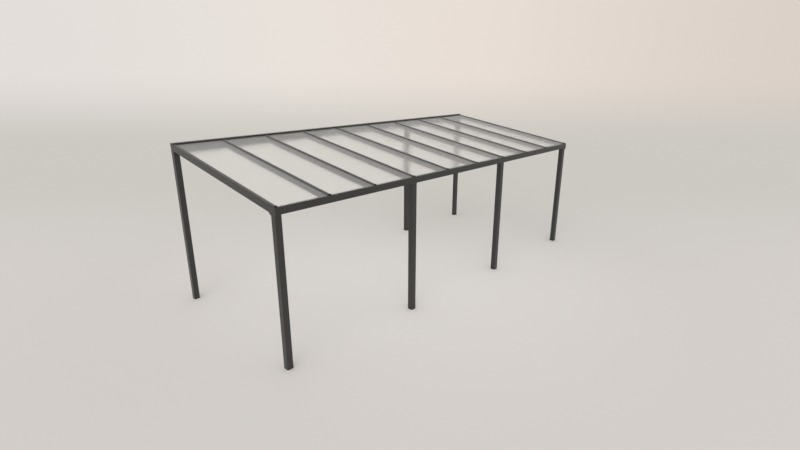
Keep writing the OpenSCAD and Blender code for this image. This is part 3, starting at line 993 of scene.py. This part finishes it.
class PATIO_OT_rear_screws(bpy.types.Operator):
    """Screws the rear flashing and the glass ledges to the rear beam"""

    bl_idname = "patio.rear_screws"
    bl_label = "Rear screws"

    def execute(self, context):
        sizes = context.scene.patio_fasteners
        sheet, plate, top_in, foot_up, end_in = 2 * MM, 3 * MM, 5.5 * MM, 12 * MM, 90 * MM
        per_pane = 3
        low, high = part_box("rear_flashing")
        y, z = high.y - sheet, high.z - top_in
        span = high.x - low.x - 2 * end_in
        count = round(span / sizes.strip_pitch) + 1
        facing = Vector((0, -1, 0))
        rows = [(Vector((low.x + end_in, y, z)), Vector((high.x - end_in, y, z)), facing)]
        button_rows("flashing_screws", rows, sizes.small_d, sizes.small_h, count, sizes.seed)
        low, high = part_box("rear_ledges")
        y, z = high.y - plate, low.z + foot_up
        rows = []
        for name in PANES:
            pane_low, pane_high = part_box(name)
            start = Vector((pane_low.x + end_in, y, z))
            rows.append((start, Vector((pane_high.x - end_in, y, z)), facing))
        button_rows("ledge_screws", rows, sizes.small_d, sizes.small_h, per_pane, sizes.seed)
        return {"FINISHED"}


class PATIO_OT_sealant(bpy.types.Operator):
    """Runs a bead of sealant along the top of the rear flashing"""

    bl_idname = "patio.sealant"
    bl_label = "Sealant"

    def execute(self, context):
        sizes = context.scene.patio_fasteners
        # the bead lies in the corner of the flashing's upper edge and the beam, in shares of its diameter
        in_front, above, end_in = 0.4, 0.1, 4 * MM
        low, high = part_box("rear_flashing")
        y, z = high.y - in_front * sizes.bead_d, high.z + above * sizes.bead_d
        rows = [(Vector((low.x + end_in, y, z)), Vector((high.x - end_in, y, z)), Vector((0, 0, 1)))]
        tree = bead_tree(materials()["silicone_sealant"])
        grow("flashing_sealant", tree, rows, {"Bead diameter": sizes.bead_d})
        return {"FINISHED"}


# level directions at 45 degrees to the cover: AHEAD to its rear right, and ACROSS to its front right
ACROSS, AHEAD = (0.7071, -0.7071, 0.0), (0.7071, 0.7071, 0.0)
# the backdrop's colours by direction, from against ACROSS to along it
BACKDROP = [
    (0.0, linear("#E0DAD8")),
    (0.17, linear("#E3DDDA")),
    (0.4, linear("#E9E2DB")),
    (0.6, linear("#E8DDD4")),
    (0.76, linear("#DED3CA")),
    (0.83, linear("#DACFC6")),
    (1.0, linear("#D6CBC2")),
]


def backdrop_colour(tree, direction, share=1.0):
    """The backdrop's colour in a direction: palest ahead of the cover's left half, deeper to the right."""
    side = add(tree, "ShaderNodeVectorMath", {0: direction, 1: ACROSS}, operation="DOT_PRODUCT")
    place = add(
        tree,
        "ShaderNodeMapRange",
        {"Value": side.outputs["Value"], "From Min": -1.0, "From Max": 1.0},
    )
    stops = [(at, scaled(colour, share)) for at, colour in BACKDROP]
    return add(tree, "ShaderNodeValToRGB", {0: place.outputs["Result"]}, stops=stops).outputs["Color"]


def studio_floor(light_pool_colour, colour, shade_colour):
    """Matt studio floor that fades into the backdrop far away."""
    # Rolled floor paint, pale and warm. It is painted paler below the cover, a painted patch of light, and
    # a little darker beyond it on every side, a painted shade. Lengths are in metres from the cover's
    # middle.
    # Depth counts along AHEAD, and past beside_from and behind_from also to both sides and backwards. It is
    # taken as near / (near + depth), which spreads the fade evenly towards the horizon. The floor is lit a
    # little more than the backdrop, so its far end takes only a share of the backdrop's colour.
    near, shade_start, shade_end, fade_start = 10.0, -1.5, 8.0, 17.0
    beside_from, behind_from = 9.3, 11.1
    light_pool_reach, far_share = 6.5, 0.965
    material, tree, surface = new_material("studio_floor_paint")
    place = add(tree, "ShaderNodeTexCoord").outputs["Object"]
    ahead = add(tree, "ShaderNodeVectorMath", {0: place, 1: AHEAD}, operation="DOT_PRODUCT")
    ahead = ahead.outputs["Value"]
    across = add(tree, "ShaderNodeVectorMath", {0: place, 1: ACROSS}, operation="DOT_PRODUCT")
    beside = add(tree, "ShaderNodeMath", {0: across.outputs["Value"]}, operation="ABSOLUTE")
    beside = add(tree, "ShaderNodeMath", {0: beside.outputs[0], 1: beside_from}, operation="SUBTRACT")
    behind = add(tree, "ShaderNodeMath", {0: -behind_from, 1: ahead}, operation="SUBTRACT")
    depth = add(tree, "ShaderNodeMath", {0: beside.outputs[0], 1: behind.outputs[0]}, operation="MAXIMUM")
    depth = add(tree, "ShaderNodeMath", {0: ahead, 1: depth.outputs[0]}, operation="MAXIMUM")
    shaded = add(
        tree,
        "ShaderNodeMapRange",
        {"Value": depth.outputs[0], "From Min": shade_start, "From Max": shade_end},
        interpolation_type="SMOOTHSTEP",
    )
    away = add(tree, "ShaderNodeVectorMath", {0: place}, operation="LENGTH")
    # painted patch of light, palest below the cover's middle
    pool = add(
        tree,
        "ShaderNodeMapRange",
        {"Value": away.outputs["Value"], "From Max": light_pool_reach},
        interpolation_type="SMOOTHSTEP",
    )
    paint = add(
        tree,
        "ShaderNodeMix",
        {"Factor": pool.outputs["Result"], "A": light_pool_colour, "B": colour},
        data_type="RGBA",
    )
    paint = add(
        tree,
        "ShaderNodeMix",
        {"Factor": shaded.outputs["Result"], "A": paint.outputs["Result"], "B": shade_colour},
        data_type="RGBA",
    )
    reach = add(tree, "ShaderNodeMath", {0: depth.outputs[0], 1: near}, operation="ADD")
    reach = add(tree, "ShaderNodeMath", {0: reach.outputs[0], 1: near}, operation="MAXIMUM")
    share = add(tree, "ShaderNodeMath", {0: near, 1: reach.outputs[0]}, operation="DIVIDE")
    fade = add(
        tree,
        "ShaderNodeMapRange",
        {"Value": share.outputs[0], "From Min": near / (near + fade_start), "From Max": 0.0},
        interpolation_type="SMOOTHSTEP",
    )
    stand = tuple(near * c for c in AHEAD)
    direction = add(tree, "ShaderNodeVectorMath", {0: place, 1: stand}, operation="ADD")
    direction = add(tree, "ShaderNodeVectorMath", {0: direction.outputs[0]}, operation="NORMALIZE")
    colours = add(
        tree,
        "ShaderNodeMix",
        {
            "Factor": fade.outputs["Result"],
            "A": paint.outputs["Result"],
            "B": backdrop_colour(tree, direction.outputs[0], far_share),
        },
        data_type="RGBA",
    )
    shader = add(tree, "ShaderNodeBsdfDiffuse", {"Color": colours.outputs["Result"]})
    tree.links.new(shader.outputs[0], surface)
    return material


def studio_world(level):
    """Even light from all sides; what the camera, mirrors and glass see is a pale backdrop."""
    # less comes from straight above than from the sides, so that the roof's shade stays light
    side_height, top_height, side_share, top_share = 0.1, 0.9, 1.45, 0.55
    world = bpy.data.worlds.new("studio")
    world.use_nodes = True
    tree = world.node_tree
    tree.nodes.clear()
    path = add(tree, "ShaderNodeLightPath").outputs
    seen = path["Is Camera Ray"]
    for kind in ("Is Glossy Ray", "Is Transmission Ray"):
        seen = add(tree, "ShaderNodeMath", {0: seen, 1: path[kind]}, operation="MAXIMUM").outputs[0]
    direction = add(tree, "ShaderNodeTexCoord").outputs["Generated"]
    height = add(tree, "ShaderNodeSeparateXYZ", {0: direction})
    strength = add(
        tree,
        "ShaderNodeMapRange",
        {
            "Value": height.outputs["Z"],
            "From Min": side_height,
            "From Max": top_height,
            "To Min": level * side_share,
            "To Max": level * top_share,
        },
    )
    lamp = add(
        tree, "ShaderNodeBackground", {"Color": (1.0, 1.0, 1.0), "Strength": strength.outputs["Result"]}
    )
    view = add(tree, "ShaderNodeBackground", {"Color": backdrop_colour(tree, direction), "Strength": 1.0})
    mixed = add(tree, "ShaderNodeMixShader", {0: seen, 1: lamp.outputs[0], 2: view.outputs[0]})
    output = add(tree, "ShaderNodeOutputWorld")
    tree.links.new(mixed.outputs[0], output.inputs["Surface"])
    bpy.context.scene.world = world


class PATIO_OT_stage(bpy.types.Operator):
    """Lays the floor and sets the light and the camera"""

    bl_idname = "patio.stage"
    bl_label = "Stage"

    def execute(self, context):
        look = context.scene.patio_stage
        reach, sides, below = 2500.0, 96, 0.3 * MM
        sun_width, sun_tilt, sun_turn = math.radians(50), math.radians(42), math.radians(-60)
        eye, tilt, turn = (-7.1121, -7.1020, 4.2218), math.radians(90 - 18.05), math.radians(-45)
        sensor_mm = 36
        mesh = bpy.data.meshes.new("studio_floor")
        rim = [math.tau * k / sides for k in range(sides)]
        corners = [(reach * math.cos(a), reach * math.sin(a), -below) for a in rim]
        mesh.from_pydata(corners, [], [range(sides)])
        paint = studio_floor(tuple(look.pool), tuple(look.floor), tuple(look.shade))
        mesh.materials.append(paint)
        floor = bpy.data.objects.new("studio_floor", mesh)
        context.scene.collection.objects.link(floor)

        studio_world(look.sky_level)
        sun = bpy.data.lights.new("key_light", "SUN")
        sun.energy = look.sun_level
        sun.angle = sun_width
        lamp = bpy.data.objects.new("key_light", sun)
        lamp.rotation_euler = (sun_tilt, 0, sun_turn)
        context.scene.collection.objects.link(lamp)

        camera = bpy.data.cameras.new("camera")
        camera.sensor_width = sensor_mm
        camera.lens = look.lens
        camera.clip_end = 2 * reach
        holder = bpy.data.objects.new("camera", camera)
        holder.location = eye
        holder.rotation_euler = (tilt, 0, turn)
        context.scene.collection.objects.link(holder)
        context.scene.camera = holder
        context.scene.view_settings.view_transform = "Standard"
        return {"FINISHED"}


OPERATORS = (
    PATIO_OT_frame,
    PATIO_OT_glazing,
    PATIO_OT_brackets,
    PATIO_OT_strip_screws,
    PATIO_OT_stop_screws,
    PATIO_OT_end_plate_screws,
    PATIO_OT_post_screws,
    PATIO_OT_rear_screws,
    PATIO_OT_sealant,
    PATIO_OT_stage,
)


class PATIO_PT_panel(bpy.types.Panel):
    """Lists the steps and settings of the patio cover"""

    bl_label = "Patio cover"
    bl_idname = "PATIO_PT_panel"
    bl_space_type = "VIEW_3D"
    bl_region_type = "UI"
    bl_category = "Patio cover"

    def draw(self, context):
        for step in OPERATORS:
            self.layout.operator(step.bl_idname, text=step.bl_label)
        for settings in ("patio_finish", "patio_fasteners", "patio_stage"):
            group = getattr(context.scene, settings)
            box = self.layout.box()
            for name in group.bl_rna.properties.keys():
                if name not in ("rna_type", "name"):
                    box.prop(group, name)


CLASSES = (PatioFinish, PatioFasteners, PatioStage, *OPERATORS, PATIO_PT_panel)
SETTINGS = {"patio_finish": PatioFinish, "patio_fasteners": PatioFasteners, "patio_stage": PatioStage}


def register():
    """Makes the steps, the settings and the panel known."""
    for made in CLASSES:
        bpy.utils.register_class(made)
    for name, group in SETTINGS.items():
        setattr(bpy.types.Scene, name, PointerProperty(type=group))


def unregister():
    """Takes them away again."""
    for name in SETTINGS:
        delattr(bpy.types.Scene, name)
    for made in reversed(CLASSES):
        bpy.utils.unregister_class(made)


def main():
    """Builds everything in order."""
    register()
    for step in OPERATORS:
        group, name = step.bl_idname.split(".")
        getattr(getattr(bpy.ops, group), name)()


if __name__ == "__main__":
    main()
